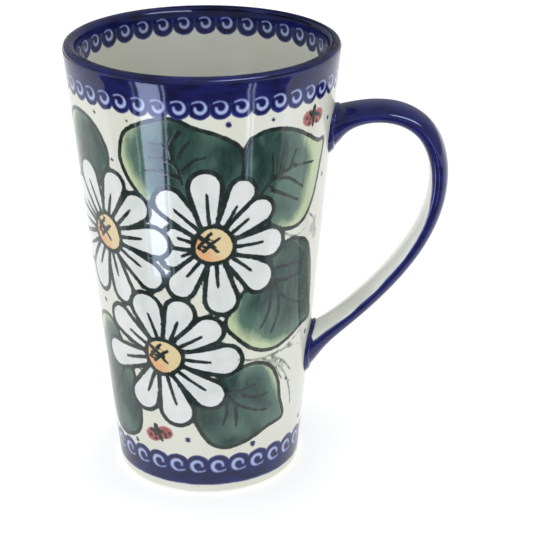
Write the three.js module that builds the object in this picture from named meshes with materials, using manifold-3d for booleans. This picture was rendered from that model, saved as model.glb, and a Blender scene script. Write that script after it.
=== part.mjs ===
// A tall stoneware mug: a thrown conical cup with a turned foot ring, and a pulled strap handle that
// is luted to the cup with slip at its two roots. Millimetres, +Z up, the handle along +X, and the
// origin under the middle of the whole mug, on the plane that the foot stands on.

import * as THREE from 'three';
import { LoftGeometry } from 'three/addons/geometries/LoftGeometry.js';
import { mergeVertices } from 'three/addons/utils/BufferGeometryUtils.js';
import Module from 'manifold-3d';

// The cup
const cupHeight = 147;
const rimRadius = 44;
const baseRadius = 30.6;
const wallThickness = 4.2;
const floorThickness = 5;
const floorFillet = 9;
const footRingWidth = 6;
const footRingDepth = 2;
const footRounding = 1.8;

// The handle, measured on the middle line of its strap
const upperRootDrop = 26.6;
const lowerRootHeight = 43.4;
const bowStandoff = 35.6;
const bowDrop = 16.6;
const archRise = 7.6;
const archLead = 11.5;
const sweepLead = 0.26; // how the long sweep bends, as shares of its own height and reach
const sweepReach = 0.76;
const sweepRise = 0.42;
const strapWidth = 14;
const strapThickness = 6.3;
const rootExtraThickness = 9;
const rootExtraWidth = 2.4;
const rootFlareLength = 7.5;
const strapSquareness = 2.3;
const rootTail = 14;

// The slip that joins each root to the cup
const slipThickness = 1.5;
const slipCollar = 0.6;
const clearance = 0.3;

// How finely the round shapes are faceted
const cupSegments = 72;
const arcSteps = 6;
const strapSteps = 40;
const sectionPoints = 20;

// The outside of the cup is one straight cone.
function wallRadius( height ) {

	return baseRadius + ( rimRadius - baseRadius ) * height / cupHeight;

}

function arc( centreX, centreY, radius, startDegrees, endDegrees ) {

	const points = [];

	for ( let i = 0; i <= arcSteps; i ++ ) {

		const degrees = THREE.MathUtils.lerp( startDegrees, endDegrees, i / arcSteps );
		const angle = THREE.MathUtils.degToRad( degrees );
		const x = centreX + radius * Math.cos( angle );
		const y = centreY + radius * Math.sin( angle );
		points.push( new THREE.Vector2( x, y ) );

	}

	return points;

}

// Turns a profile of radius and height about the cup's axis.
function turned( profile ) {

	return new THREE.LatheGeometry( profile, cupSegments ).rotateX( Math.PI / 2 );

}

// Joins and cuts

const wasm = await Module();
wasm.setup();

function toSolid( geometry ) {

	const bare = new THREE.BufferGeometry();
	bare.setAttribute( 'position', geometry.attributes.position );
	bare.setIndex( geometry.index );
	const merged = mergeVertices( bare, 1e-4 );
	const vertProperties = new Float32Array( merged.attributes.position.array );
	const triVerts = new Uint32Array( merged.index.array );
	return new wasm.Manifold( new wasm.Mesh( { numProp: 3, vertProperties, triVerts } ) );

}

function toGeometry( solid ) {

	const mesh = solid.getMesh();
	const geometry = new THREE.BufferGeometry();
	geometry.setAttribute( 'position', new THREE.BufferAttribute( mesh.vertProperties, 3 ) );
	geometry.setIndex( new THREE.BufferAttribute( mesh.triVerts, 1 ) );
	geometry.computeVertexNormals();
	return geometry;

}

// A solid cone that stands off the outside of the cup by the given distance.
function coneSolid( standoff ) {

	const low = - cupHeight / 10;
	const high = cupHeight * 1.1;
	return toSolid( turned( [
		new THREE.Vector2( 0, low ),
		new THREE.Vector2( wallRadius( low ) + standoff, low ),
		new THREE.Vector2( wallRadius( high ) + standoff, high ),
		new THREE.Vector2( 0, high )
	] ) );

}

// The cup: a foot ring round a shallow recess, a straight wall, a rounded lip and a filleted floor.
function makeCup() {

	const footOuter = wallRadius( footRounding );
	const ringInner = footOuter - footRingWidth;
	const floorHeight = footRingDepth + floorThickness;
	const lipRadius = wallThickness / 2;
	const lipHeight = cupHeight - lipRadius;
	const lipCentre = wallRadius( lipHeight ) - lipRadius;
	const filletHeight = floorHeight + floorFillet;
	const filletCentre = wallRadius( filletHeight ) - wallThickness - floorFillet;

	const profile = [
		new THREE.Vector2( 0, footRingDepth ),
		...arc( ringInner - footRingDepth / 2, footRingDepth / 2, footRingDepth / 2, 90, 0 ),
		new THREE.Vector2( ringInner, 0 ),
		...arc( footOuter - footRounding, footRounding, footRounding, - 90, 0 ),
		...arc( lipCentre, lipHeight, lipRadius, 0, 180 ),
		...arc( filletCentre, filletHeight, floorFillet, 0, - 90 ),
		new THREE.Vector2( 0, floorHeight )
	];

	return turned( profile );

}

// The middle line of the strap: an arch from the upper root to the bow, then a long sweep back to
// the lower root. A straight length at each end carries it on inside the wall, where it is cut off.
function strapLine() {

	const upperHeight = cupHeight - upperRootDrop;
	const bowHeight = upperHeight - bowDrop;
	const sweepHeight = bowHeight - lowerRootHeight;
	const upperRoot = new THREE.Vector3( wallRadius( upperHeight ), 0, upperHeight );
	const lowerRoot = new THREE.Vector3( wallRadius( lowerRootHeight ), 0, lowerRootHeight );
	const bow = new THREE.Vector3( wallRadius( bowHeight ) + bowStandoff, 0, bowHeight );
	const archStart = new THREE.Vector3( upperRoot.x + archLead, 0, upperHeight + archRise );
	const archEnd = new THREE.Vector3( bow.x, 0, upperHeight + archRise );
	const sweepStart = new THREE.Vector3( bow.x, 0, bowHeight - sweepHeight * sweepLead );
	const sweepEnd = lowerRoot.clone();
	sweepEnd.x += ( bow.x - lowerRoot.x ) * sweepReach;
	sweepEnd.z += sweepHeight * sweepRise;

	const upperTail = upperRoot.clone().sub( archStart ).setLength( rootTail ).add( upperRoot );
	const lowerTail = lowerRoot.clone().sub( sweepEnd ).setLength( rootTail ).add( lowerRoot );

	const line = new THREE.CurvePath();
	line.add( new THREE.LineCurve3( upperTail, upperRoot ) );
	line.add( new THREE.CubicBezierCurve3( upperRoot, archStart, archEnd, bow ) );
	line.add( new THREE.CubicBezierCurve3( bow, sweepStart, sweepEnd, lowerRoot ) );
	line.add( new THREE.LineCurve3( lowerRoot, lowerTail ) );
	return line;

}

// The strap from one share of its length to another, grown outwards by a collar. It is an oval in
// section, and it spreads towards both roots.
function strapSolid( from, to, steps, collar ) {

	const line = strapLine();
	const length = line.getLength();
	const across = new THREE.Vector3( 0, 1, 0 );
	const power = 2 / strapSquareness;
	const sections = [];

	for ( let i = 0; i <= steps; i ++ ) {

		const share = THREE.MathUtils.lerp( from, to, i / steps );
		const centre = line.getPointAt( share );
		const tangent = line.getTangentAt( share );
		const through = new THREE.Vector3().crossVectors( tangent, across ).normalize();
		const rootDistance = Math.min( share, 1 - share ) * length - rootTail;
		const flare = ( 1 - Math.tanh( rootDistance / rootFlareLength ) ) / 2;
		const halfWidth = ( strapWidth + rootExtraWidth * flare ) / 2 + collar;
		const halfThickness = ( strapThickness + rootExtraThickness * flare ) / 2 + collar;
		const section = [];

		for ( let j = 0; j < sectionPoints; j ++ ) {

			const cosine = Math.cos( 2 * Math.PI * j / sectionPoints );
			const sine = Math.sin( 2 * Math.PI * j / sectionPoints );
			const point = centre.clone();
			point.addScaledVector( across, Math.sign( cosine ) * Math.abs( cosine ) ** power * halfWidth );
			point.addScaledVector( through, Math.sign( sine ) * Math.abs( sine ) ** power * halfThickness );
			section.push( point );

		}

		sections.push( section );

	}

	return toSolid( new LoftGeometry( sections, { capStart: true, capEnd: true } ) );

}

// The handle stops one slip layer and two clearances away from the cup.
function makeHandle() {

	const cutter = coneSolid( clearance + slipThickness + clearance );
	return toGeometry( strapSolid( 0, 1, strapSteps, 0 ).subtract( cutter ) );

}

// A layer of slip on the wall under one root, a collar wider than the root all round.
function makeSlip( from, to ) {

	const steps = 10;
	const shell = coneSolid( clearance + slipThickness ).subtract( coneSolid( clearance ) );
	return toGeometry( strapSolid( from, to, steps, slipCollar ).intersect( shell ) );

}

// The pieces

const ivoryGlaze = new THREE.MeshStandardMaterial( { color: 0xe9e4d4, roughness: 0.12, metalness: 0 } );
const cobaltGlaze = new THREE.MeshStandardMaterial( { color: 0x1c2763, roughness: 0.12, metalness: 0 } );
const cobaltSlip = new THREE.MeshStandardMaterial( { color: 0x202c70, roughness: 0.15, metalness: 0 } );

const mug = new THREE.Group();

function addPiece( name, geometry, material ) {

	const piece = new THREE.Mesh( geometry, material );
	piece.name = name;
	mug.add( piece );

}

const slipReach = 0.2;
addPiece( 'mug_body', makeCup(), ivoryGlaze );
addPiece( 'strap_handle', makeHandle(), cobaltGlaze );
addPiece( 'upper_slip_joint', makeSlip( 0, slipReach ), cobaltSlip );
addPiece( 'lower_slip_joint', makeSlip( 1 - slipReach, 1 ), cobaltSlip );

// The cup's axis moves off the origin, so that the origin is under the middle of the whole mug.
const bounds = new THREE.Box3().setFromObject( mug );
mug.position.x = - ( bounds.min.x + bounds.max.x ) / 2;

export default mug;
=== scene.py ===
# A hand-painted stoneware mug: an ivory cup with daisies, leaves and cobalt scroll bands, and a
# strap handle painted cobalt. Sizes are in metres, and the painting is laid out in millimetres.
import math

import bpy
import numpy as np
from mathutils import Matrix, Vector


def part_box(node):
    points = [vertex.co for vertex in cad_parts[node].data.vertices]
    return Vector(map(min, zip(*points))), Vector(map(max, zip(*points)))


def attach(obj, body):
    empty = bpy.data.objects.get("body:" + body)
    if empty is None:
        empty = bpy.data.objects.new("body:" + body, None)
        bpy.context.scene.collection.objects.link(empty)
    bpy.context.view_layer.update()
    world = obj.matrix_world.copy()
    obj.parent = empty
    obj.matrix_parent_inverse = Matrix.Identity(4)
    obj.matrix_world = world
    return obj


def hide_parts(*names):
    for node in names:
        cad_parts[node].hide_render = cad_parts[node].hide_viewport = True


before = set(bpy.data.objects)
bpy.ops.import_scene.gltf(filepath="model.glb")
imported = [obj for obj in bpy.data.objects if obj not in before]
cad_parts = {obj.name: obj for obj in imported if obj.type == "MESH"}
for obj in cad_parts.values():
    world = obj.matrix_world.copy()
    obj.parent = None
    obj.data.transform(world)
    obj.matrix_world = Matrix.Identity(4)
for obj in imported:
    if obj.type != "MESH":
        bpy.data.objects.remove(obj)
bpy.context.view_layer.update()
bodyLow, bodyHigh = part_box("mug_body")
axisX = (bodyLow.x + bodyHigh.x) / 2  # the cup's own axis, left of the origin
mm = 0.001
tiny = 0.01 * mm

cup = {
    "height": bodyHigh.z,
    "rimRadius": 44 * mm,
    "baseRadius": 30.6 * mm,
    "wall": 4.2 * mm,
    "floorHeight": 7 * mm,
    "floorFillet": 9 * mm,
    "ringRadius": 24.8 * mm,  # the inside of the foot ring
    "ringDepth": 2 * mm,
    "ringRound": 0.6 * mm,
    "recessRound": 1 * mm,
    "footRound": 1.8 * mm,
    "lipRound": 2.05 * mm,
    "discRings": (7 * mm, 6 * mm, 3 * mm),  # how the two round floors are divided
    "columns": 432,
    "paintedFrom": 14.5 * mm,  # the fine grid lies between these heights
    "paintedTo": 134.5 * mm,
    "paintedCuts": 172,
    "innerCuts": 12,
    "edgeCuts": 3,
    "innerEdgeCuts": 2,
    "waveHeight": 0.3 * mm,
    "waveLength": 32 * mm,
    "waveDepth": 1,
    "waveFrom": 25 * mm,  # nearer the axis the floor stays flat
}


def wallRadius(z):
    return cup["baseRadius"] + (cup["rimRadius"] - cup["baseRadius"]) * z / cup["height"]


# Working on a mesh

def switchTo(mode):
    bpy.ops.object.mode_set(mode=mode)


def pick(piece):
    bpy.ops.object.select_all(action="DESELECT")
    piece.select_set(True)
    bpy.context.view_layer.objects.active = piece


def freshPiece(name):
    piece = bpy.context.object
    piece.name = name
    piece.data.name = name
    bpy.ops.object.transform_apply(location=True, rotation=True, scale=True)
    return piece


def clearSelection(kind):
    switchTo("EDIT")
    bpy.ops.mesh.select_mode(type=kind)
    bpy.ops.mesh.select_all(action="DESELECT")
    switchTo("OBJECT")


def selectFaces(piece, test):
    clearSelection("FACE")
    for face in piece.data.polygons:
        face.select = test(face)
    switchTo("EDIT")


def selectEdges(piece, test):
    clearSelection("EDGE")
    points = piece.data.vertices
    for edge in piece.data.edges:
        a, b = edge.vertices
        edge.select = test(points[a].co, points[b].co)
    switchTo("EDIT")


def applyModifier(piece, modifier):
    pick(piece)
    bpy.ops.object.modifier_apply(modifier=modifier.name)


# lets slow clouds push a surface in and out
def addWave(piece, sizes, group=""):
    clouds = bpy.data.textures.new(piece.name + "Wave", "CLOUDS")
    clouds.noise_scale = sizes["waveLength"]
    clouds.noise_depth = sizes["waveDepth"]
    wave = piece.modifiers.new("wave", "DISPLACE")
    wave.texture = clouds
    wave.strength = sizes["waveHeight"]
    wave.vertex_group = group
    applyModifier(piece, wave)


def coordinates(piece):
    flat = np.empty(len(piece.data.vertices) * 3, dtype=np.float32)
    piece.data.vertices.foreach_get("co", flat)
    return flat.reshape(-1, 3).astype(float)


def storeAttribute(piece, name, values):
    attribute = piece.data.attributes.new(name, "FLOAT", "POINT")
    attribute.data.foreach_set("value", np.asarray(values, dtype=np.float32))


def axisDistance(co):
    return math.hypot(co.x - axisX, co.y)


# The cup

def makeCup():
    height, floorZ = cup["height"], cup["floorHeight"]
    bpy.ops.mesh.primitive_cone_add(
        vertices=cup["columns"], radius1=cup["baseRadius"], radius2=cup["rimRadius"],
        depth=height, end_fill_type="NGON", location=(axisX, 0, height / 2))
    body = freshPiece("mugBody")

    # hollow it from the top
    selectFaces(body, lambda face: face.normal.z > 0.9 and face.center.z > height / 2)
    bpy.ops.mesh.inset(thickness=cup["wall"])
    bpy.ops.mesh.extrude_region_move(TRANSFORM_OT_translate={"value": (0, 0, floorZ - height)})
    taper = (wallRadius(floorZ) - cup["wall"]) / (cup["rimRadius"] - cup["wall"])
    bpy.ops.transform.resize(value=(taper, taper, 1), center_override=(axisX, 0, floorZ))
    switchTo("OBJECT")

    # turn the foot ring
    selectFaces(body, lambda face: face.normal.z < -0.9 and face.center.z < height / 2)
    bpy.ops.mesh.inset(thickness=cup["baseRadius"] - cup["ringRadius"])
    bpy.ops.mesh.extrude_region_move(TRANSFORM_OT_translate={"value": (0, 0, cup["ringDepth"])})
    switchTo("OBJECT")

    # round the level edges at one height, between two radii
    def roundOff(z, low, high, width, steps):
        selectEdges(body, lambda a, b: abs(a.z - z) < tiny and abs(b.z - z) < tiny
                    and low < axisDistance(a) < high and low < axisDistance(b) < high)
        bpy.ops.mesh.bevel(offset=width, segments=steps, affect="EDGES", clamp_overlap=False)
        switchTo("OBJECT")

    ringOuter = cup["ringRadius"] + 1 * mm
    roundOff(height, cup["baseRadius"], cup["rimRadius"] + 1 * mm, cup["lipRound"], 5)
    roundOff(floorZ, 0, cup["baseRadius"], cup["floorFillet"], 8)
    roundOff(0, ringOuter, cup["baseRadius"] + 1 * mm, cup["footRound"], 4)
    roundOff(0, 0, ringOuter, cup["ringRound"], 2)
    roundOff(cup["ringDepth"], 0, ringOuter, cup["recessRound"], 2)

    # a fine grid where the flowers go, a coarse one elsewhere
    for z in (cup["paintedFrom"], cup["paintedTo"]):
        switchTo("EDIT")
        bpy.ops.mesh.select_all(action="SELECT")
        bpy.ops.mesh.bisect(plane_co=(0, 0, z), plane_no=(0, 0, 1))
        switchTo("OBJECT")

    def cutRows(low, high, outside, cuts):
        middle = cup["wall"] / 2
        selectEdges(body, lambda a, b: abs(a.z - b.z) > 5 * mm
                    and low - tiny < min(a.z, b.z) and max(a.z, b.z) < high + tiny
                    and (axisDistance(a) > wallRadius(a.z) - middle) == outside)
        bpy.ops.mesh.subdivide(number_cuts=cuts)
        switchTo("OBJECT")

    cutRows(cup["paintedFrom"], cup["paintedTo"], True, cup["paintedCuts"])
    cutRows(0, cup["paintedFrom"], True, cup["edgeCuts"])
    cutRows(cup["paintedTo"], height, True, cup["edgeCuts"])
    cutRows(0, cup["paintedTo"], False, cup["innerCuts"])
    cutRows(cup["paintedTo"], height, False, cup["innerEdgeCuts"])

    # close the two discs on the axis with smaller rings and a fan
    for step in cup["discRings"]:
        selectFaces(body, lambda face: len(face.vertices) > 100)
        bpy.ops.mesh.inset(thickness=step)
        switchTo("OBJECT")
    selectFaces(body, lambda face: len(face.vertices) > 100)
    bpy.ops.mesh.poke()
    switchTo("OBJECT")

    # the slow waviness that the thrower's hand leaves in the wall
    hand = body.vertex_groups.new(name="wall")
    for vertex in body.data.vertices:
        weight = min(1, max(0, (vertex.co.z - 4 * mm) / (20 * mm)))
        if weight and axisDistance(vertex.co) > cup["waveFrom"]:
            hand.add([vertex.index], weight, "REPLACE")
    addWave(body, cup, "wall")
    body.vertex_groups.clear()
    bpy.ops.object.shade_smooth()
    return body


mugBody = makeCup()
print("cup modelled:", len(mugBody.data.polygons), "faces")

# The strap handle and its slip

strap = {
    "upperRootDrop": 26.6 * mm,
    "lowerRootHeight": 43.4 * mm,
    "bowStandoff": 35.6 * mm,
    "bowDrop": 16.6 * mm,
    "archRise": 7.6 * mm,
    "archLead": 11.5 * mm,
    "sweepLead": 0.26,
    "sweepReach": 0.76,
    "sweepRise": 0.42,
    "width": 14 * mm,
    "thickness": 6.3 * mm,
    "rootExtraThickness": 9 * mm,
    "rootExtraWidth": 2.4 * mm,
    "flareLength": 7.5 * mm,
    "squareness": 2.3,
    "tail": 14 * mm,
    "stations": 120,
    "around": 32,
    "waveHeight": 0.25 * mm,
    "waveLength": 20 * mm,
    "waveDepth": 2,
    "fitGap": 0.1 * mm,
    "slipThickness": 1.5 * mm,
    "slipSink": 0.3 * mm,
    "slipCollar": 0.6 * mm,
    "slipReach": 28 * mm,
    "creaseAngle": 50,
    "slipStations": 24,
    "slipGrain": 0.3 * mm,
    "slipSmoothing": 24,
}


# the middle line's ends and bow, with the handles of its two curved stretches, as radius and height
def strapCorners():
    upperZ = cup["height"] - strap["upperRootDrop"]
    lowerZ = strap["lowerRootHeight"]
    bowZ = upperZ - strap["bowDrop"]
    upper = np.array((wallRadius(upperZ), upperZ))
    lower = np.array((wallRadius(lowerZ), lowerZ))
    bow = np.array((wallRadius(bowZ) + strap["bowStandoff"], bowZ))
    archStart = upper + (strap["archLead"], strap["archRise"])
    archEnd = np.array((bow[0], upperZ + strap["archRise"]))
    fall, reach = bowZ - lowerZ, bow[0] - lower[0]
    sweepStart = bow - (0, fall * strap["sweepLead"])
    sweepEnd = lower + (reach * strap["sweepReach"], fall * strap["sweepRise"])
    return upper, archStart, archEnd, bow, sweepStart, sweepEnd, lower


def makeStrapLine():
    upper, archStart, archEnd, bow, sweepStart, sweepEnd, lower = strapCorners()
    upperAway = (upper - archStart) / np.linalg.norm(upper - archStart) * strap["tail"]
    lowerAway = (lower - sweepEnd) / np.linalg.norm(lower - sweepEnd) * strap["tail"]
    knots = [
        (upper + upperAway, upper + upperAway * 1.3, upper + upperAway * 0.7),
        (upper, upper + upperAway * 0.3, archStart),
        (bow, archEnd, sweepStart),
        (lower, sweepEnd, lower + lowerAway * 0.3),
        (lower + lowerAway, lower + lowerAway * 0.7, lower + lowerAway * 1.3),
    ]
    bpy.ops.curve.primitive_bezier_curve_add(location=(0, 0, 0))
    line = bpy.context.object
    spline = line.data.splines[0]
    spline.bezier_points.add(len(knots) - 2)
    for point, places in zip(spline.bezier_points, knots):
        point.handle_left_type = point.handle_right_type = "FREE"
        co, left, right = [(axisX + place[0], 0, place[1]) for place in places]
        point.co, point.handle_left, point.handle_right = co, left, right
    line.data.resolution_u = 64
    return line


def strapSize(x, length, collar):
    flare = (1 - math.tanh((min(x, length - x) - strap["tail"]) / strap["flareLength"])) / 2
    halfWidth = (strap["width"] + strap["rootExtraWidth"] * flare) / 2 + collar
    halfThickness = (strap["thickness"] + strap["rootExtraThickness"] * flare) / 2 + collar
    return halfWidth, halfThickness


# turns the ring's circle into the fuller oval of a pulled strap
def squareOff(piece, x):
    power = 2 / strap["squareness"]
    for vertex in piece.data.vertices:
        y, z = vertex.co.y, vertex.co.z
        vertex.co = (x, math.copysign(abs(y) ** power, y), math.copysign(abs(z) ** power, z))


# Draws out a straight strap ring by ring along +X, then bends it along the middle line.
def bentStrap(name, line, start, end, stations, collar):
    length = line.data.splines[0].calc_length()
    low, high = start * length, end * length
    bpy.ops.mesh.primitive_circle_add(
        vertices=strap["around"], radius=1, fill_type="NGON",
        rotation=(0, math.pi / 2, 0), location=(low, 0, 0))
    piece = freshPiece(name)
    squareOff(piece, low)
    width, thickness = strapSize(low, length, collar)
    switchTo("EDIT")
    bpy.ops.mesh.select_mode(type="FACE")
    bpy.ops.mesh.select_all(action="SELECT")
    bpy.ops.transform.resize(value=(1, width, thickness), center_override=(low, 0, 0))
    step = (high - low) / stations
    for station in range(1, stations + 1):
        x = low + step * station
        bpy.ops.mesh.extrude_region_move(TRANSFORM_OT_translate={"value": (step, 0, 0)})
        newWidth, newThickness = strapSize(x, length, collar)
        bpy.ops.transform.resize(
            value=(1, newWidth / width, newThickness / thickness), center_override=(x, 0, 0))
        width, thickness = newWidth, newThickness
    bpy.ops.mesh.select_all(action="SELECT")
    bpy.ops.mesh.normals_make_consistent(inside=False)
    switchTo("OBJECT")
    bend = piece.modifiers.new("bend", "CURVE")
    bend.object = line
    applyModifier(piece, bend)
    return piece


# a plug with the cup's taper, standing off its outside
def makePlug(standoff):
    low, high = -20 * mm, cup["height"] + 20 * mm
    bpy.ops.mesh.primitive_cone_add(
        vertices=cup["columns"], radius1=wallRadius(low) + standoff,
        radius2=wallRadius(high) + standoff, depth=high - low, location=(axisX, 0, (low + high) / 2))
    return freshPiece("plug")


def cutWith(piece, operation, standoff):
    plug = makePlug(standoff)
    cut = piece.modifiers.new("fit", "BOOLEAN")
    cut.operation = operation
    cut.object = plug
    applyModifier(piece, cut)
    bpy.data.objects.remove(plug)


def makeHandle(line):
    handle = bentStrap("strapHandle", line, 0, 1, strap["stations"], 0)
    cutWith(handle, "DIFFERENCE", strap["slipThickness"] - strap["fitGap"])
    addWave(handle, strap)
    bpy.ops.object.shade_smooth_by_angle(angle=math.radians(strap["creaseAngle"]))
    return handle


# a thin pad of slip under one root, softened as wet slip is
def makeSlip(name, line, start, end):
    pad = bentStrap(name, line, start, end, strap["slipStations"], strap["slipCollar"])
    cutWith(pad, "INTERSECT", strap["slipThickness"])
    cutWith(pad, "DIFFERENCE", -strap["slipSink"])
    remesh = pad.modifiers.new("soften", "REMESH")
    remesh.voxel_size = strap["slipGrain"]
    applyModifier(pad, remesh)
    smooth = pad.modifiers.new("smooth", "SMOOTH")
    smooth.iterations = strap["slipSmoothing"]
    applyModifier(pad, smooth)
    bpy.ops.object.shade_smooth()
    return pad


strapLine = makeStrapLine()
strapHandle = makeHandle(strapLine)
slipShare = strap["slipReach"] / strapLine.data.splines[0].calc_length()
upperSlip = makeSlip("upperSlip", strapLine, 0.01, slipShare)
lowerSlip = makeSlip("lowerSlip", strapLine, 1 - slipShare, 0.99)
bpy.data.objects.remove(strapLine)
print("handle modelled:", len(strapHandle.data.polygons), "faces; slip:", len(upperSlip.data.polygons))


def curvePoint(p0, p1, p2, p3, t):
    t = t[:, None]
    return p0 * (1 - t) ** 3 + 3 * p1 * t * (1 - t) ** 2 + 3 * p2 * t ** 2 * (1 - t) + p3 * t ** 3


# marks on the handle that its paint follows: how far each point is towards the outer face, and how
# far along the strap it is from the cup
def markHandle(handle):
    upper, archStart, archEnd, bow, sweepStart, sweepEnd, lower = strapCorners()
    t = np.linspace(0, 1, 160)
    track = np.vstack((curvePoint(upper, archStart, archEnd, bow, t),
                       curvePoint(bow, sweepStart, sweepEnd, lower, t)[1:]))
    along = np.concatenate(([0], np.cumsum(np.linalg.norm(np.diff(track, axis=0), axis=1))))
    ahead = np.gradient(track, axis=0)
    ahead /= np.linalg.norm(ahead, axis=1)[:, None]
    places = coordinates(handle)
    flat = np.column_stack((places[:, 0] - axisX, places[:, 2]))
    nearest = np.argmin(np.linalg.norm(flat[:, None] - track[None], axis=2), axis=1)
    offset = flat - track[nearest]
    outward = offset[:, 0] * -ahead[nearest, 1] + offset[:, 1] * ahead[nearest, 0]
    tail = strap["tail"]
    halves = np.array([strapSize(tail + s, along[-1] + 2 * tail, 0)[1] for s in along])
    storeAttribute(handle, "outward", outward / halves[nearest])
    storeAttribute(handle, "along", along[nearest] / along[-1])
    storeAttribute(handle, "rootDistance", np.minimum(along[nearest], along[-1] - along[nearest]) / mm)


markHandle(strapHandle)
print("handle marked")

# The painting. Each figure is laid out on the wall in millimetres, and each layer of paint is kept
# on the mesh as a distance: negative inside the paint, positive outside it.
farAway = 4.0


def smoothLoop(points, closed=True, steps=8):
    points = np.asarray(points, dtype=float)
    count = len(points)
    curve = []
    for i in range(count if closed else count - 1):
        if closed:
            a, b, c, d = (points[(i + k) % count] for k in (-1, 0, 1, 2))
        else:
            a, b, c, d = (points[min(max(i + k, 0), count - 1)] for k in (-1, 0, 1, 2))
        for t in np.arange(steps) / steps:
            curve.append(0.5 * (2 * b + (c - a) * t + (2 * a - 5 * b + 4 * c - d) * t ** 2
                                + (3 * b - a - 3 * c + d) * t ** 3))
    if not closed:
        curve.append(points[-1])
    return np.array(curve)


def segmentDistance(x, y, start, end):
    span = end - start
    reach = ((x - start[0]) * span[0] + (y - start[1]) * span[1]) / max(span @ span, 1e-9)
    reach = np.clip(reach, 0, 1)
    return np.hypot(x - start[0] - reach * span[0], y - start[1] - reach * span[1]), reach


def outlineDistance(x, y, outline):
    nearest = np.full(x.shape, 1e9)
    inside = np.zeros(x.shape, dtype=bool)
    for i in range(len(outline)):
        a, b = outline[i - 1], outline[i]
        nearest = np.minimum(nearest, segmentDistance(x, y, a, b)[0])
        crosses = (a[1] > y) != (b[1] > y)
        if a[1] != b[1]:
            inside ^= crosses & (x < a[0] + (y - a[1]) * (b[0] - a[0]) / (b[1] - a[1]))
    return np.where(inside, -nearest, nearest)


# how far each point is to one side of a brush line, and half the line's width there
def brushLine(x, y, points, startWidth, endWidth):
    line = smoothLoop(points, closed=False, steps=4)
    best = np.full(x.shape, 1e9)
    side = np.full(x.shape, farAway)
    half = np.full(x.shape, endWidth / 2)
    for i in range(1, len(line)):
        start, end = line[i - 1], line[i]
        distance, reach = segmentDistance(x, y, start, end)
        share = (i - 1 + reach) / (len(line) - 1)
        width = (startWidth + (endWidth - startWidth) * share) / 2
        turn = (end[0] - start[0]) * (y - start[1]) - (end[1] - start[1]) * (x - start[0])
        closer = distance - width < best
        best = np.where(closer, distance - width, best)
        side = np.where(closer, np.where(turn < 0, -distance, distance), side)
        half = np.where(closer, width, half)
    return side, half


# a petal is a narrow round foot and a wide round tip with straight sides between them
def petalDistance(u, v, footRadius, tipRadius, foot, tip):
    span = tip - foot
    slope = (footRadius - tipRadius) / span
    rise = math.sqrt(1 - slope * slope)
    along, across = u - foot, np.abs(v)
    turn = along * rise - across * slope
    side = across * rise + along * slope - footRadius
    atFoot = np.hypot(along, across) - footRadius
    atTip = np.hypot(along - span, across) - tipRadius
    return np.where(turn < 0, atFoot, np.where(turn > rise * span, atTip, side))


class Canvas:
    def __init__(self, body):
        places = coordinates(body)
        radius = np.hypot(places[:, 0] - axisX, places[:, 1])
        height = places[:, 2]
        self.count = len(places)
        margin = 0.5 * mm
        outside = radius > wallRadius(height) - cup["wall"] / 2
        outside &= (height > cup["paintedFrom"] - margin) & (height < cup["paintedTo"] + margin)
        self.used = np.nonzero(outside)[0]
        self.angle = np.degrees(np.arctan2(places[self.used, 1], places[self.used, 0] - axisX))
        self.height = height[self.used] / mm
        self.radius = wallRadius(height[self.used]) / mm
        self.layers = {}

    def layer(self, name):
        if name not in self.layers:
            self.layers[name] = np.full(len(self.used), farAway)
        return self.layers[name]

    # the grid points near a place, and where they lie from it in millimetres
    def around(self, angle, height, reach):
        turn = (self.angle - angle + 180) % 360 - 180
        x = np.radians(turn) * self.radius
        y = self.height - height
        near = np.nonzero((np.abs(x) < reach) & (np.abs(y) < reach))[0]
        return near, x[near], y[near]

    def add(self, name, near, distance):
        layer = self.layer(name)
        layer[near] = np.minimum(layer[near], distance)

    def cutAway(self, name, near, distance):
        layer = self.layer(name)
        layer[near] = np.maximum(layer[near], np.minimum(-distance, farAway))

    # whatever is painted over a place hides the ink already there
    def coverInk(self, near, distance):
        self.cutAway("inkNear", near, distance)
        self.cutAway("thinNear", near, distance)

    # A line of paint keeps its side and its width apart from its nearness, so that it stays crisp
    # between the points of the grid.
    def stroke(self, name, near, side, half):
        reach = np.abs(side) - half
        half = np.broadcast_to(half, reach.shape)
        closer = reach < self.layer(name + "Near")[near]
        where = near[closer]
        self.layer(name + "Near")[where] = reach[closer]
        self.layer(name + "Side")[where] = side[closer]
        self.layer(name + "Half")[where] = half[closer]

    def store(self, body):
        for name, layer in self.layers.items():
            values = np.full(self.count, farAway)
            values[self.used] = np.clip(layer, -farAway, farAway)
            storeAttribute(body, name, values)


# Daisies: the disc's place as degrees round the cup and height, and each petal's direction, length
# and tip radius
daisies = [
    {"angle": -78.8, "height": 92.5, "petals": [
        (197, 18.5, 3.9), (167, 17, 3.6), (133, 25.6, 4.8), (-126, 22.8, 4.8), (98, 25.9, 5.3),
        (-82.5, 25.3, 5.3), (62.5, 24.9, 4.6), (-41, 25.4, 5.3), (34, 23.5, 4.6), (-5, 24.3, 5.3)]},
    {"angle": -134.3, "height": 91.8, "petals": [
        (147, 24, 5.2), (180, 24, 5.2), (-147, 24, 5.2), (-76, 25, 4.6), (-114, 25, 5.6),
        (114, 25.3, 5.8), (72, 24.1, 4.6), (39, 23.8, 4.9), (-36, 25.3, 5.1), (2, 25, 5.3)]},
    {"angle": -106.0, "height": 51.8, "petals": [
        (191, 26.5, 5.3), (147, 24.6, 4.8), (107, 24.1, 5.6), (69, 23.7, 5.0), (-118, 24.4, 5.4),
        (-81, 26.5, 5.7), (36, 24.3, 5.0), (-43, 25.6, 5.4), (-1, 26.5, 5.6)]},
]
petalStyle = {"foot": 6.0, "footRadius": 2.55, "outline": 1.6, "strokeStart": 7.0, "strokeShare": 0.62,
              "strokeWide": 1.5, "strokeFine": 1.0, "heart": 8.6, "ripple": 0.35, "bend": 0.5}
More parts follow.
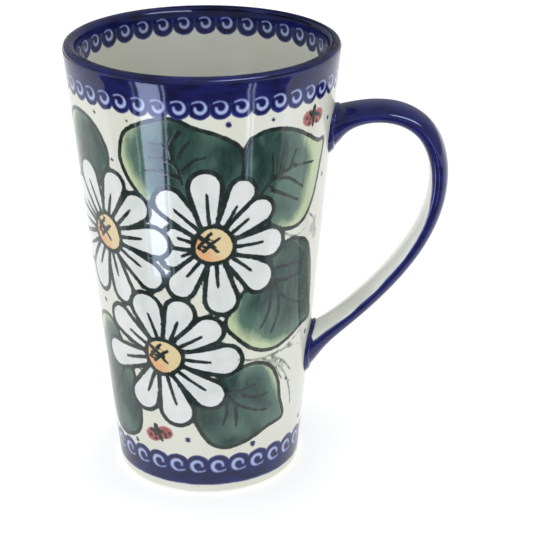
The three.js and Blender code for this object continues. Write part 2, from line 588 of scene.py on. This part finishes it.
discStyle = {"radius": 6.4, "outline": 1.5, "hatchWidth": 1.3, "ripple": 0.25}
hatch = [[(-4.8, 3.6), (-2.0, 1.2), (1.2, -2.2)], [(-4.6, -0.4), (-2.9, 2.0), (-0.8, 4.4)],
         [(-3.0, -1.8), (-1.0, 0.4), (1.6, 2.4)]]

# Leaves: the outline, the way the green wash thins out, how light it is, and the ribs
leaves = [
    {"outline": [(-143, 60), (-135, 55), (-128, 45), (-125, 36), (-124.5, 26), (-129, 19.5),
                 (-141.7, 16.2), (-153, 18), (-162, 26), (-166, 38), (-163, 50), (-155, 58)],
     "pale": (-1, 0.4), "light": 0.0,
     "ribs": [[(-135, 43), (-143, 35), (-151, 30)], [(-139, 39), (-138, 31)],
              [(-144, 35), (-149, 40)], [(-147, 32), (-148, 25)]]},
    {"outline": [(-141.7, 130.2), (-133, 127), (-127.8, 120.5), (-129, 114), (-136, 108), (-147, 106),
                 (-158, 109), (-164, 116), (-162, 124), (-153, 129.5)],
     "pale": (-1, 0.2), "light": 0.1,
     "ribs": [[(-139, 112), (-147, 119), (-156, 121)], [(-143, 116), (-141, 123)],
              [(-148, 119), (-150, 126)], [(-146, 118), (-154, 114)]]},
    {"outline": [(-65, 124.2), (-60, 128), (-51.7, 128.9), (-41.7, 127.2), (-33.3, 124), (-25, 120.6),
                 (-18.6, 119.6), (-20.2, 112), (-23.5, 102.5), (-29, 96.4), (-36.7, 93.9), (-48, 95.5),
                 (-58, 101), (-66, 112)],
     "pale": (1, -0.25), "light": 0.34,
     "ribs": [[(-57.5, 108.5), (-50, 113), (-40, 115), (-27, 114)], [(-48, 114), (-47, 121)],
              [(-54.5, 110.5), (-52, 114.5), (-52.5, 121)], [(-43, 115), (-40, 120.5)],
              [(-49, 112.5), (-43, 111.5), (-34, 107)], [(-52, 109), (-44, 106), (-36.5, 103)]]},
    {"outline": [(-42, 89.6), (-31.5, 88.6), (-24.5, 85), (-20.2, 78), (-17.2, 70), (-14.8, 62),
                 (-13, 56.8), (-24, 56.2), (-35, 53.8), (-46, 52.2), (-57, 53.6), (-67, 58.6),
                 (-73.5, 65), (-66, 74), (-55, 82)],
     "pale": (-0.75, -1), "light": 0.0,
     "ribs": [[(-48, 77), (-42.5, 71), (-33, 66.5), (-22.5, 64)], [(-47.5, 77), (-38.5, 76), (-30, 76.5)],
              [(-49.5, 75), (-50, 67), (-54.5, 61)], [(-45, 73), (-44, 65), (-48, 58.5)],
              [(-47, 81.5), (-39, 81), (-30, 80.5)]]},
    {"outline": [(-35, 24.6), (-38.5, 32), (-41, 39.4), (-46.5, 45.5), (-55, 48.4), (-64, 47.8),
                 (-76, 44), (-88, 38), (-91.2, 31), (-88, 25.4), (-81.5, 19.8), (-71.7, 17.9),
                 (-58.5, 19.8), (-46.5, 22.8)],
     "pale": (1, 0.55), "light": -0.2,
     "ribs": [[(-73.5, 38), (-66, 34), (-57, 31), (-47.5, 29.5)], [(-73, 39.5), (-65, 39), (-56.5, 40.5)],
              [(-63, 37), (-54.5, 35.5), (-48, 36)], [(-72.5, 36), (-72.5, 31), (-74.5, 27)],
              [(-67.5, 34), (-67, 29), (-67, 26)]]},
    {"outline": [(-96, 134.3), (-86.7, 131.6), (-75.5, 128.6), (-67.8, 124.8), (-65.6, 119), (-68, 112),
                 (-76, 105), (-95, 102), (-108, 106), (-115, 111), (-119, 116), (-120.2, 121),
                 (-117, 128), (-108.3, 132)],
     "pale": (-1, -0.3), "light": 0.0,
     "ribs": [[(-92.5, 130), (-96, 126), (-96, 122), (-93.5, 117.5), (-92, 113)],
              [(-96, 125.5), (-100, 125.5), (-104.5, 126)], [(-95.5, 120), (-100.5, 121), (-105.5, 121)],
              [(-94, 115.5), (-101, 117), (-108, 117)], [(-93, 122), (-91, 125), (-88, 127.5)],
              [(-91.5, 117.5), (-87, 121), (-82, 122)]]},
]
leafStyle = {"outline": 1.4, "ribStart": 1.4, "ribEnd": 0.8}

# ladybirds: degrees, height and tilt; the two halves of each as place and radius; its strokes as two
# ends and a width; and its spots
ladybirds = [(-112.6, 21.9, 12), (-30, 129.3, -12)]
ladybirdStyle = {
    "halves": [(-2.4, -0.5, 2.6), (2.3, 0.2, 2.5)],
    "stretch": 1.15,
    "strokes": [((-0.6, 2.9), (0.3, -2.6), 1.9), ((-2.6, 1.5), (-1.3, 0.2), 1.1),
                ((0.9, 0.7), (2.6, 1.3), 1.0)],
    "spots": [(-3.6, -0.6), (-1.9, -1.9), (2.2, -1.4), (3.9, -0.4)],
    "spotRadius": 0.75,
}
# small marks: dots and buds as degrees, height and radius, and blades of grass as lines
dots = [(-133, 132.2, 0.7), (-115, 131.8, 0.6), (-125, 118, 0.7), (-72.5, 132.3, 1), (-53.2, 132.3, 0.8),
        (-16.5, 126, 0.9), (-15.8, 107, 0.9), (-95, 21.0, 1), (-56.2, 17.6, 1.1), (-130.5, 16.2, 0.9),
        (-145.3, 65.4, 0.9), (-34, 38.3, 0.7), (-17, 51.6, 1), (-12.8, 18.4, 1), (-169, 74, 0.9),
        (-173, 118, 1), (-170, 96, 0.8), (-174, 46, 0.9), (-170, 22, 1), (-177, 84, 0.8), (-178, 60, 0.9)]
grass = [[(-66, 50.8), (-54, 49.6), (-40, 50.4), (-25, 49.2)], [(-52, 49.4), (-44, 45), (-38, 39)],
         [(-46, 49), (-38, 46), (-31, 41)], [(-46, 48), (-36, 41), (-30, 33), (-28, 27)],
         [(-40, 50), (-32, 52), (-24, 54)], [(-40, 45), (-36, 44.5)], [(-34, 38), (-31, 37)],
         [(-44, 93), (-36, 90.5), (-29, 91.5)], [(-40, 91.5), (-33, 87), (-28, 84)],
         [(-26, 96), (-21, 93), (-18, 88)], [(-168, 92), (-172, 84), (-170, 76)], [(-171, 88), (-178, 84)],
         [(-170, 80), (-176, 78)], [(-172, 40), (-176, 32), (-174, 24)], [(-174, 36), (-169, 32)],
         [(-172, 112), (-177, 106), (-176, 98)], [(-176, 104), (-171, 101)]]
buds = [(-22, 90, 1.7), (-18.5, 87.5, 1.5), (-19.5, 92.5, 1.2), (-176, 91.5, 1.5), (-179, 88.5, 1.3)]


# from degrees and height to millimetres round a centre, as Canvas.around gives the grid
def laidOut(points, angle, height):
    points = np.asarray(points, dtype=float)
    radii = np.array([wallRadius(z * mm) / mm for z in points[:, 1]])
    return np.column_stack((np.radians(points[:, 0] - angle) * radii, points[:, 1] - height))


# a place seen along and across a direction in degrees
def turned(x, y, direction):
    lean = math.radians(direction)
    return x * math.cos(lean) + y * math.sin(lean), y * math.cos(lean) - x * math.sin(lean)


def paintLeaf(canvas, leaf, turn):
    outline = np.array(leaf["outline"], dtype=float)
    angle, height = outline.mean(axis=0)
    near, x, y = canvas.around(angle + turn, height, 34)
    loop = smoothLoop(laidOut(outline, angle, height))
    edge = outlineDistance(x, y, loop)
    canvas.coverInk(near, edge)
    canvas.add("leaf", near, edge)
    canvas.stroke("ink", near, edge, leafStyle["outline"] / 2)
    pale = np.array(leaf["pale"]) / np.linalg.norm(leaf["pale"])
    reach = (loop @ pale).max()
    tone = 0.75 * (x * pale[0] + y * pale[1]) / reach + 0.4 * np.clip(1 + edge / 6, 0, 1) + leaf["light"]
    inside = edge < 0.6
    canvas.layer("leafTone")[near[inside]] = tone[inside]
    for rib in leaf["ribs"]:
        line = laidOut(rib, angle, height)
        side, half = brushLine(x, y, line, leafStyle["ribStart"], leafStyle["ribEnd"])
        canvas.stroke("thin", near[inside], side[inside], half[inside])


def paintDaisy(canvas, daisy, turn):
    style = petalStyle
    line = style["outline"] / 2
    near, x, y = canvas.around(daisy["angle"] + turn, daisy["height"], 30)
    canvas.stroke("ink", near, np.hypot(x, y), style["heart"])
    petals = []
    for direction, length, tipRadius in daisy["petals"]:
        u, v = turned(x, y, direction)
        v = v + style["ripple"] * np.sin(u / 6 + direction)
        tip = length - line - tipRadius
        edge = petalDistance(u, v, style["footRadius"], tipRadius, style["foot"], tip)
        canvas.coverInk(near, edge)
        canvas.cutAway("leaf", near, edge)
        canvas.add("petal", near, edge)
        canvas.stroke("ink", near, edge, line)
        petals.append((u, v, direction, length))
    for u, v, direction, length in petals:
        bend = style["bend"] * math.sin(direction)
        start = style["strokeStart"]
        reach = length * (style["strokeShare"] + 0.05 * math.sin(direction * 2))
        points = [(start, 0), ((start + reach) / 2, bend * 0.4), (reach, bend)]
        canvas.stroke("thin", near, *brushLine(u, v, points, style["strokeWide"], style["strokeFine"]))
    ripple = discStyle["ripple"] * np.sin(3 * np.arctan2(y, x) + daisy["angle"])
    radius = np.hypot(x, y) - discStyle["radius"] - ripple
    canvas.coverInk(near, radius)
    canvas.add("disc", near, radius)
    canvas.stroke("ink", near, -radius, discStyle["outline"] / 2)
    tone = canvas.layer("discTone")
    inside = radius < 0.5
    tone[near[inside]] = (-x[inside] - y[inside] * 0.6) / discStyle["radius"]
    for points in hatch:
        side, half = brushLine(x, y, points, discStyle["hatchWidth"], discStyle["hatchWidth"] * 0.8)
        canvas.stroke("thin", near[inside], side[inside], half[inside])


def paintLadybird(canvas, angle, height, tilt):
    style = ladybirdStyle
    near, x, y = canvas.around(angle, height, 8)
    u, v = turned(x, y, tilt)
    for middleU, middleV, radius in style["halves"]:
        half = np.hypot((u - middleU) / style["stretch"], v - middleV) - radius
        canvas.add("red", near, half)
    for start, end, width in style["strokes"]:
        canvas.stroke("thin", near, *brushLine(u, v, [start, end], width, width * 0.7))
    for spotU, spotV in style["spots"]:
        canvas.stroke("thin", near, np.hypot(u - spotU, v - spotV), style["spotRadius"])


def paintCluster(canvas, turn):
    for leaf in leaves:
        paintLeaf(canvas, leaf, turn)
    for daisy in daisies:
        paintDaisy(canvas, daisy, turn)
    for angle, height, tilt in ladybirds:
        paintLadybird(canvas, angle + turn, height, tilt)
    for angle, height, radius in dots:
        near, x, y = canvas.around(angle + turn, height, 3)
        canvas.add("blueDot", near, np.hypot(x, y) - radius)
    for blade in grass:
        centreAngle, centreHeight = blade[0]
        near, x, y = canvas.around(centreAngle + turn, centreHeight, 30)
        line = laidOut(blade, centreAngle, centreHeight)
        canvas.stroke("grass", near, *brushLine(x, y, line, 0.9, 0.5))
    for angle, height, radius in buds:
        near, x, y = canvas.around(angle + turn, height, 4)
        canvas.add("bud", near, np.hypot(x, y * 0.8) - radius)


canvas = Canvas(mugBody)
canvas.layer("leafTone")[:] = 0
canvas.layer("discTone")[:] = 0
paintCluster(canvas, 0)
paintCluster(canvas, 180)
canvas.store(mugBody)
print("painting laid out:", len(canvas.used), "points,", len(canvas.layers), "layers")

# Colours are given as they look on the pot, from 0 to 255
paints = {
    "ivory": (224, 225, 218),
    "ivoryWarm": (218, 217, 203),
    "strip": (250, 250, 244),
    "petal": (226, 228, 228),
    "petalShade": (214, 219, 218),
    "ink": (32, 42, 40),
    "inkThin": (50, 64, 61),
    "leafDark": (34, 58, 54),
    "leafMid": (50, 77, 71),
    "leafLight": (96, 126, 114),
    "leafPale": (190, 203, 166),
    "disc": (226, 206, 162),
    "discDeep": (226, 172, 128),
    "ladybird": (166, 52, 60),
    "dot": (34, 38, 92),
    "grass": (84, 104, 92),
    "bud": (150, 128, 150),
    "cobaltDeep": (17, 18, 62),
    "cobalt": (26, 32, 102),
    "cobaltThin": (62, 74, 146),
    "handleDeep": (20, 21, 76),
    "handleCobalt": (34, 39, 112),
    "stamp": (122, 134, 192),
    "stampLight": (172, 184, 220),
    "bareClay": (206, 198, 180),
    "speck": (120, 96, 70),
}


def paint(name):
    linear = []
    for channel in paints[name]:
        share = channel / 255
        linear.append(share / 12.92 if share <= 0.04045 else ((share + 0.055) / 1.055) ** 2.4)
    return (*linear, 1)


# a small helper that lays out shader nodes
class Nodes:
    def __init__(self, tree):
        self.tree = tree

    def feed(self, socket, value):
        if isinstance(value, bpy.types.NodeSocket):
            self.tree.links.new(value, socket)
        else:
            socket.default_value = value

    def node(self, kind, sockets=None, **settings):
        made = self.tree.nodes.new("ShaderNode" + kind)
        for setting, value in settings.items():
            setattr(made, setting, value)
        for socket, value in (sockets or {}).items():
            self.feed(made.inputs[socket], value)
        return made

    def math(self, operation, *values):
        return self.node("Math", dict(enumerate(values)), operation=operation).outputs[0]

    def plus(self, first, second):
        return self.math("ADD", first, second)

    def minus(self, first, second):
        return self.math("SUBTRACT", first, second)

    def times(self, first, second):
        return self.math("MULTIPLY", first, second)

    def most(self, first, second):
        return self.math("MAXIMUM", first, second)

    def least(self, first, *others):
        for other in others:
            first = self.math("MINIMUM", first, other)
        return first

    def length(self, u, v):
        return self.math("SQRT", self.plus(self.times(u, u), self.times(v, v)))

    def spread(self, value, low, high, start=0.0, end=1.0):
        sockets = {"Value": value, "From Min": low, "From Max": high, "To Min": start, "To Max": end}
        return self.node("MapRange", sockets).outputs[0]


# one glaze; lengths inside it are in millimetres from the foot of the cup's axis
class Recipe(Nodes):
    def __init__(self, name):
        self.material = bpy.data.materials.new(name)
        self.material.use_nodes = True
        super().__init__(self.material.node_tree)
        self.tree.nodes.clear()
        place = self.node("TexCoord").outputs["Object"]
        self.place = self.node("Mapping", {"Vector": place, "Location": (-axisX / mm, 0, 0),
                                           "Scale": (1 / mm, 1 / mm, 1 / mm)}).outputs[0]
        self.x, self.y, self.z = self.node("SeparateXYZ", {"Vector": self.place}).outputs

    # how much of the paint lies here, from its distance
    def cover(self, distance, soft=0.16):
        return self.spread(distance, soft, -soft)

    def noise(self, size, detail=2.0, roughness=0.5, vector=None):
        sockets = {"Vector": vector or self.place, "Scale": 1 / size, "Detail": detail,
                   "Roughness": roughness}
        return self.node("TexNoise", sockets).outputs["Fac"]

    # a noise turned into a swing either way
    def sway(self, noise, amount):
        return self.times(self.minus(noise, 0.5), amount)

    # lays one colour over another; each is a paint's name or something mixed before
    def blend(self, share, base, over):
        base, over = (paint(colour) if isinstance(colour, str) else colour for colour in (base, over))
        return self.node("Mix", {0: share, 6: base, 7: over}, data_type="RGBA").outputs[2]

    def mark(self, name):
        return self.node("Attribute", attribute_name=name).outputs["Fac"]

    # the distance to a line of paint from its three marks
    def line(self, name, slack=0.2):
        side = self.minus(self.math("ABSOLUTE", self.mark(name + "Side")), self.mark(name + "Half"))
        return self.most(side, self.minus(self.mark(name + "Near"), slack))

    def stretched(self, scale, rotation=(0, 0, 0)):
        sockets = {"Vector": self.place, "Scale": scale, "Rotation": rotation}
        return self.node("Mapping", sockets).outputs[0]

    def bump(self, height, distance, under=None):
        sockets = {"Height": height, "Distance": distance}
        if under:
            sockets["Normal"] = under
        return self.node("Bump", sockets).outputs[0]

    def finish(self, colour, roughness, normal):
        sockets = {"Base Color": colour, "Roughness": roughness, "Normal": normal}
        shader = self.node("BsdfPrincipled", sockets)
        self.node("OutputMaterial", {"Surface": shader.outputs[0]})
        return self.material


# Scroll bands: how many stamps go round, where their middles stand, and how big they are
bands = {
    "rim": {"count": 43, "centre": 137.8, "disc": 3.75, "solid": 138.6, "pitch": 6.3, "at": -84.0,
            "hand": (1, 1), "scroll": 0.94, "early": 1.0},
    "base": {"count": 29, "centre": 10.9, "disc": 4.25, "solid": 10.4, "pitch": 6.84, "at": -89.5,
             "hand": (-1, -1), "scroll": 1.04, "early": 0.6},
    "inside": {"count": 34, "centre": 141.6, "disc": 3.95, "solid": 142.6, "pitch": 7.3, "at": 96.0,
               "hand": (-1, 1), "scroll": 0.84, "early": 1.0},
}
scroll = {"startRadius": 2.2, "shrink": 1.1, "turn": 0.8, "thin": 0.28, "swell": 0.44, "swellTurn": 0.9,
          "armLength": 2.4, "armThin": 0.32, "armDroop": 0.1, "wobble": 0.7}
bandFoot = 3.4  # below this height the wall is bare again


# one band: the distance to its cobalt, and to the pale scroll stamped on it
def drawBand(mix, band, wobble):
    turns = mix.times(mix.math("ARCTAN2", mix.y, mix.x), band["count"] / (2 * math.pi))
    start = band["count"] * band["at"] / 360 - 0.5
    cell = mix.math("FRACT", mix.minus(turns, start))
    across, upward = band["hand"]
    u = mix.times(mix.minus(cell, 0.5), band["pitch"] * across)
    v = mix.times(mix.minus(mix.z, band["centre"]), upward)
    disc = mix.minus(mix.length(u, v), band["disc"])
    solid = mix.times(mix.minus(band["solid"], mix.z), upward)
    cobalt = mix.plus(mix.least(disc, solid), wobble)

    # the scroll winds inwards from its top, thin at first and broad underneath
    u = mix.math("DIVIDE", u, band["scroll"])
    v = mix.math("DIVIDE", v, band["scroll"])
    clockwise = mix.times(mix.math("ARCTAN2", u, v), 1 / (2 * math.pi))
    wound = mix.math("FRACT", mix.plus(clockwise, 1.0))
    radius = mix.minus(scroll["startRadius"], mix.times(wound, scroll["shrink"]))
    swell = mix.math("POWER", mix.math("DIVIDE", wound, scroll["swellTurn"]), band["early"])
    swell = mix.math("SINE", mix.times(swell, math.pi))
    half = mix.plus(mix.times(swell, scroll["swell"]), scroll["thin"])
    curl = mix.minus(mix.math("ABSOLUTE", mix.minus(mix.length(u, v), radius)), half)
    curl = mix.most(curl, mix.times(mix.minus(wound, scroll["turn"]), 9.0))
    droop = mix.times(mix.times(u, u), scroll["armDroop"])
    arm = mix.plus(mix.minus(v, scroll["startRadius"]), droop)
    arm = mix.minus(mix.math("ABSOLUTE", arm), scroll["armThin"])
    arm = mix.most(arm, mix.most(u, mix.minus(-scroll["armLength"], u)))
    stamp = mix.plus(mix.least(curl, arm), mix.times(wobble, scroll["wobble"]))
    return cobalt, stamp


glaze = {
    "shiver": 0.7,  # how far the brush wavers, in millimetres
    "quiver": 0.5,
    "speckScale": 0.32,
    "inkSoft": 0.14,
    "cobaltSoft": 0.22,
    "stampSoft": 0.24,
    "ripple": 0.06 * mm,
    "peel": 0.008 * mm,
    "relief": 0.02 * mm,
    "gloss": (0.06, 0.11),
    "handleGloss": (0.07, 0.13),
    "slipGloss": (0.08, 0.15),
    "bare": (0.7, 0.3),  # the glaze ends between these heights
    "bareRoughness": 0.7,
    "rootStripe": 3.6,
    "handleQuiver": 0.9,
    "stripPlace": (-1.0, -0.3),  # where the ivory strip begins, near the rim and further down
}


def cobaltColour(mix, edge, deepest, full):
    strokes = mix.noise(7, 2.0, 0.5, mix.stretched((1, 1, 2.5)))
    deep = mix.blend(mix.spread(strokes, 0.35, 0.75), deepest, full)
    thin = mix.times(mix.spread(edge, -0.9, -0.05), 0.55)
    return mix.blend(thin, deep, "cobaltThin")


def ivoryColour(mix, light, warm):
    base = mix.blend(mix.spread(mix.noise(22), 0.35, 0.7), light, warm)
    speckle = mix.node("TexVoronoi", {"Vector": mix.place, "Scale": glaze["speckScale"]})
    size = mix.spread(mix.noise(9, 1.0), 0.55, 0.75, 0.0, 0.16)
    specks = mix.spread(mix.minus(speckle.outputs["Distance"], size), 0.0, -0.05, 0.0, 0.35)
    return mix.blend(specks, base, "speck")


# the glaze's skin: a faint orange peel over slower ripples
def glazeSkin(mix, relief=None):
    ripple = mix.bump(mix.noise(14, 1.0), glaze["ripple"])
    peel = mix.bump(mix.noise(1.5), glaze["peel"], ripple)
    return mix.bump(relief, glaze["relief"], peel) if relief else peel


def mugGlaze():
    mix = Recipe("mugGlaze")
    shiver = mix.sway(mix.noise(1.6, 3.0, 0.6), glaze["shiver"])
    quiver = mix.sway(mix.noise(2.4), glaze["quiver"])
    marks = {name: mix.plus(mix.mark(name), shiver)
             for name in ("leaf", "petal", "disc", "red", "blueDot", "bud")}
    ink = mix.least(mix.line("ink"), mix.line("thin"))
    ink = mix.plus(ink, mix.times(shiver, 0.8))
    grassLine = mix.plus(mix.line("grass"), shiver)
    colour = ivoryColour(mix, "ivory", "ivoryWarm")

    # leaves: a wash in long brush strokes that thins to pale green along one side
    brush = mix.noise(6, 3.0, 0.6, mix.stretched((1, 1, 0.5), (0.5, 0.4, 0)))
    streak = mix.noise(2.2, 2.0, 0.5, mix.stretched((1, 1, 0.3), (0.9, 0.7, 0)))
    wash = mix.blend(mix.spread(brush, 0.4, 0.6), "leafDark", "leafMid")
    wash = mix.blend(mix.spread(mix.noise(13, 1.0), 0.52, 0.7, 0.0, 0.5), wash, "leafLight")
    wash = mix.blend(mix.spread(streak, 0.55, 0.75, 0.0, 0.3), wash, "leafLight")
    tone = mix.plus(mix.mark("leafTone"), mix.sway(brush, 0.6))
    wash = mix.blend(mix.spread(tone, 0.1, 0.55, 0.0, 0.75), wash, "leafLight")
    wash = mix.blend(mix.spread(tone, 0.6, 0.92), wash, "leafPale")
    colour = mix.blend(mix.cover(marks["leaf"]), colour, wash)

    veil = mix.blend(mix.spread(mix.noise(6), 0.4, 0.7), "petal", "petalShade")
    colour = mix.blend(mix.cover(marks["petal"]), colour, veil)

    warm = mix.plus(mix.mark("discTone"), mix.times(mix.noise(2.2), 0.9))
    yolk = mix.blend(mix.spread(warm, 0.35, 1.1), "disc", "discDeep")
    colour = mix.blend(mix.cover(marks["disc"]), colour, yolk)

    faint = mix.times(mix.cover(grassLine, 0.2), mix.spread(mix.noise(3), 0.3, 0.6, 0.35, 0.9))
    colour = mix.blend(faint, colour, "grass")
    colour = mix.blend(mix.times(mix.cover(marks["bud"], 0.5), 0.6), colour, "bud")
    colour = mix.blend(mix.times(mix.cover(marks["red"], 0.3), 0.9), colour, "ladybird")
    colour = mix.blend(mix.cover(marks["blueDot"], 0.25), colour, "dot")
    inkTone = mix.blend(mix.spread(mix.noise(3.2, 3.0), 0.4, 0.7), "ink", "inkThin")
    inkCover = mix.cover(ink, glaze["inkSoft"])
    colour = mix.blend(inkCover, colour, inkTone)

    # the scroll bands; the inside one is only on the cup's inner face
    radius = mix.length(mix.x, mix.y)
    wall = mix.spread(mix.z, 0.0, cup["height"] / mm, cup["baseRadius"] / mm, cup["rimRadius"] / mm)
    inner = mix.math("LESS_THAN", mix.minus(radius, wall), -cup["wall"] / mm / 2)
    rimCobalt, rimStamp = drawBand(mix, bands["rim"], quiver)
    insideCobalt, insideStamp = drawBand(mix, bands["inside"], quiver)
    baseCobalt, baseStamp = drawBand(mix, bands["base"], quiver)
    baseCobalt = mix.most(baseCobalt, mix.plus(mix.minus(bandFoot, mix.z), quiver))
    low = mix.math("LESS_THAN", mix.z, cup["height"] / mm / 2)

    def choose(where, yes, no):
        kept = mix.times(no, mix.minus(1.0, where))
        return mix.plus(kept, mix.times(yes, where))

    cobalt = choose(inner, mix.plus(insideCobalt, mix.times(low, 99.0)),
                    choose(low, baseCobalt, rimCobalt))
    stamp = choose(inner, insideStamp, choose(low, baseStamp, rimStamp))
    blue = cobaltColour(mix, cobalt, "cobaltDeep", "cobalt")
    blue = mix.blend(mix.times(mix.cover(stamp, glaze["stampSoft"]), 0.9), blue, "stamp")
    blue = mix.blend(mix.spread(stamp, -0.12, -0.5), blue, "stampLight")
    blueCover = mix.cover(cobalt, glaze["cobaltSoft"])
    colour = mix.blend(blueCover, colour, blue)

    # the foot ring's resting face is wiped clean of glaze
    bare = mix.spread(mix.z, *glaze["bare"])
    colour = mix.blend(bare, colour, "bareClay")
    gloss = mix.spread(mix.noise(11), 0.3, 0.7, *glaze["gloss"])
    roughness = mix.plus(gloss, mix.times(bare, glaze["bareRoughness"]))
    return mix.finish(colour, roughness, glazeSkin(mix, mix.most(inkCover, blueCover)))


def handlePaint():
    mix = Recipe("handlePaint")
    quiver = mix.sway(mix.noise(9, 1.0), glaze["handleQuiver"])
    outward, along, root = (mix.mark(name) for name in ("outward", "along", "rootDistance"))
    line = mix.spread(along, 0.2, 0.55, *glaze["stripPlace"])
    strip = mix.minus(mix.times(mix.minus(line, outward), strap["thickness"] / mm / 2), quiver)
    stripe = mix.minus(mix.minus(root, glaze["rootStripe"]), quiver)
    edge = mix.least(strip, stripe)
    blue = cobaltColour(mix, edge, "handleDeep", "handleCobalt")
    colour = mix.blend(mix.cover(edge, 0.2), ivoryColour(mix, "strip", "ivory"), blue)
    gloss = mix.spread(mix.noise(11), 0.3, 0.7, *glaze["handleGloss"])
    return mix.finish(colour, gloss, glazeSkin(mix, mix.cover(edge, 0.3)))


def slipCobalt():
    mix = Recipe("slipCobalt")
    strokes = mix.noise(2.2, 3.0, 0.6)
    colour = mix.blend(mix.spread(strokes, 0.35, 0.7), "handleDeep", "handleCobalt")
    gloss = mix.spread(mix.noise(6), 0.3, 0.7, *glaze["slipGloss"])
    return mix.finish(colour, gloss, glazeSkin(mix, strokes))


mugBody.data.materials.append(mugGlaze())
strapHandle.data.materials.append(handlePaint())
slipGlaze = slipCobalt()
upperSlip.data.materials.append(slipGlaze)
lowerSlip.data.materials.append(slipGlaze)
print("glazes mixed")

for piece, node, slot in ((mugBody, "mug_body", "ivory_glaze"), (strapHandle, "strap_handle", "cobalt_glaze"),
                          (upperSlip, "upper_slip_joint", "cobalt_slip"),
                          (lowerSlip, "lower_slip_joint", "cobalt_slip")):
    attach(piece, "root")
    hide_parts(node)

# The studio: a pale floor, an even white surround, a dark card and window-like panels for the glaze
# to mirror; places are in millimetres
studio = {
    "floorSize": 6.0,
    "floorWhite": 0.8,
    "floorGlow": 0.42,
    "skyZenith": 0.95,
    "skyHorizon": 0.83,
    "skyInGlaze": 0.42,
    "skyTint": (0.97, 0.99, 0.98, 1),
    "card": (1100, -75, -1100),  # its width, and its near and far edges
    "cardGlow": 0.12,
    "windowTint": (0.62, 0.72, 1.0),
    "cameraPlace": (66.8, -500.9, 285.8),
    "cameraTarget": (22.8, 2.0, 65.9),
    "lens": 107.95,
}

# the panels: angle round the cup, distance from its axis, low and high edges, width, brightness
panels = {
    "windowLeft": (-122.5, 150, 5, 112, 43, 8),
    "windowLeftFrame": (-111.3, 150, 5, 112, 3.5, 7),
    "windowLeftEdge": (-134.7, 150, 5, 112, 3, 4),
    "windowRight": (-49, 150, 50, 112, 4, 7),
    "windowRightEdge": (-45.5, 150, 50, 112, 3, 7),
    "lampRight": (-48, 300, 300, 400, 260, 14),
}


# gives a piece a dull surface that also glows
def addGlow(piece, white, specular, glow):
    surface = bpy.data.materials.new(piece.name)
    surface.use_nodes = True
    sockets = surface.node_tree.nodes["Principled BSDF"].inputs
    sockets["Base Color"].default_value = (white, white, white, 1)
    sockets["Roughness"].default_value = 0.9
    sockets["Specular IOR Level"].default_value = specular
    sockets["Emission Color"].default_value = (1, 1, 1, 1)
    sockets["Emission Strength"].default_value = glow
    piece.data.materials.append(surface)


def makeFloor():
    bpy.ops.mesh.primitive_plane_add(size=studio["floorSize"], location=(0, 0, 0))
    floor = freshPiece("studioFloor")
    addGlow(floor, studio["floorWhite"], 0.1, studio["floorGlow"])


# the surround looks white, and dimmer in the glaze
def makeSky():
    world = bpy.data.worlds.new("studioSky")
    world.use_nodes = True
    sky = Nodes(world.node_tree)
    up = sky.node("SeparateXYZ", {"Vector": sky.node("TexCoord").outputs["Generated"]}).outputs["Z"]
    glow = sky.spread(up, 0, 0.8, studio["skyHorizon"], studio["skyZenith"])
    mirrored = sky.node("LightPath").outputs["Is Glossy Ray"]
    dim = sky.spread(mirrored, 0, 1, 1, studio["skyInGlaze"])
    background = world.node_tree.nodes["Background"]
    sky.feed(background.inputs["Strength"], sky.times(glow, dim))
    background.inputs["Color"].default_value = studio["skyTint"]
    bpy.context.scene.world = world


# a dark card lying in front, which only the glaze sees
def makeCard():
    wide, near, far = studio["card"]
    bpy.ops.mesh.primitive_plane_add(size=1, location=(axisX, (near + far) / 2 * mm, 1 * mm))
    bpy.context.object.scale = (wide * mm, (near - far) * mm, 1)
    card = freshPiece("studioCard")
    card.visible_camera = False
    card.visible_diffuse = False
    card.visible_shadow = False
    addGlow(card, 0, 0, studio["cardGlow"])


# a panel that only the glaze sees, facing the cup
def makePanel(name, angle, distance, low, high, width, brightness):
    lean = math.radians(angle)
    x, y = axisX + distance * mm * math.cos(lean), distance * mm * math.sin(lean)
    bpy.ops.object.light_add(type="AREA", location=(x, y, (low + high) / 2 * mm),
                             rotation=(math.pi / 2, 0, lean + math.pi / 2))
    light = bpy.context.object
    light.name = name
    light.data.shape = "RECTANGLE"
    light.data.size = width * mm
    light.data.size_y = (high - low) * mm
    light.data.color = studio["windowTint"]
    light.data.energy = brightness * math.pi * light.data.size * light.data.size_y
    light.visible_camera = False
    light.visible_diffuse = False
    light.data.use_shadow = False


def makeCamera():
    def placed(point):
        return Vector((axisX + point[0] * mm, point[1] * mm, point[2] * mm))

    place, target = placed(studio["cameraPlace"]), placed(studio["cameraTarget"])
    aim = (target - place).to_track_quat("-Z", "Y").to_euler()
    bpy.ops.object.camera_add(location=place, rotation=aim)
    camera = bpy.context.object
    camera.data.lens = studio["lens"]
    camera.data.clip_start = 10 * mm
    bpy.context.scene.camera = camera


makeFloor()
makeCard()
makeSky()
for panelName, panel in panels.items():
    makePanel(panelName, *panel)
makeCamera()
bpy.context.scene.view_settings.view_transform = "Standard"
print("studio set")
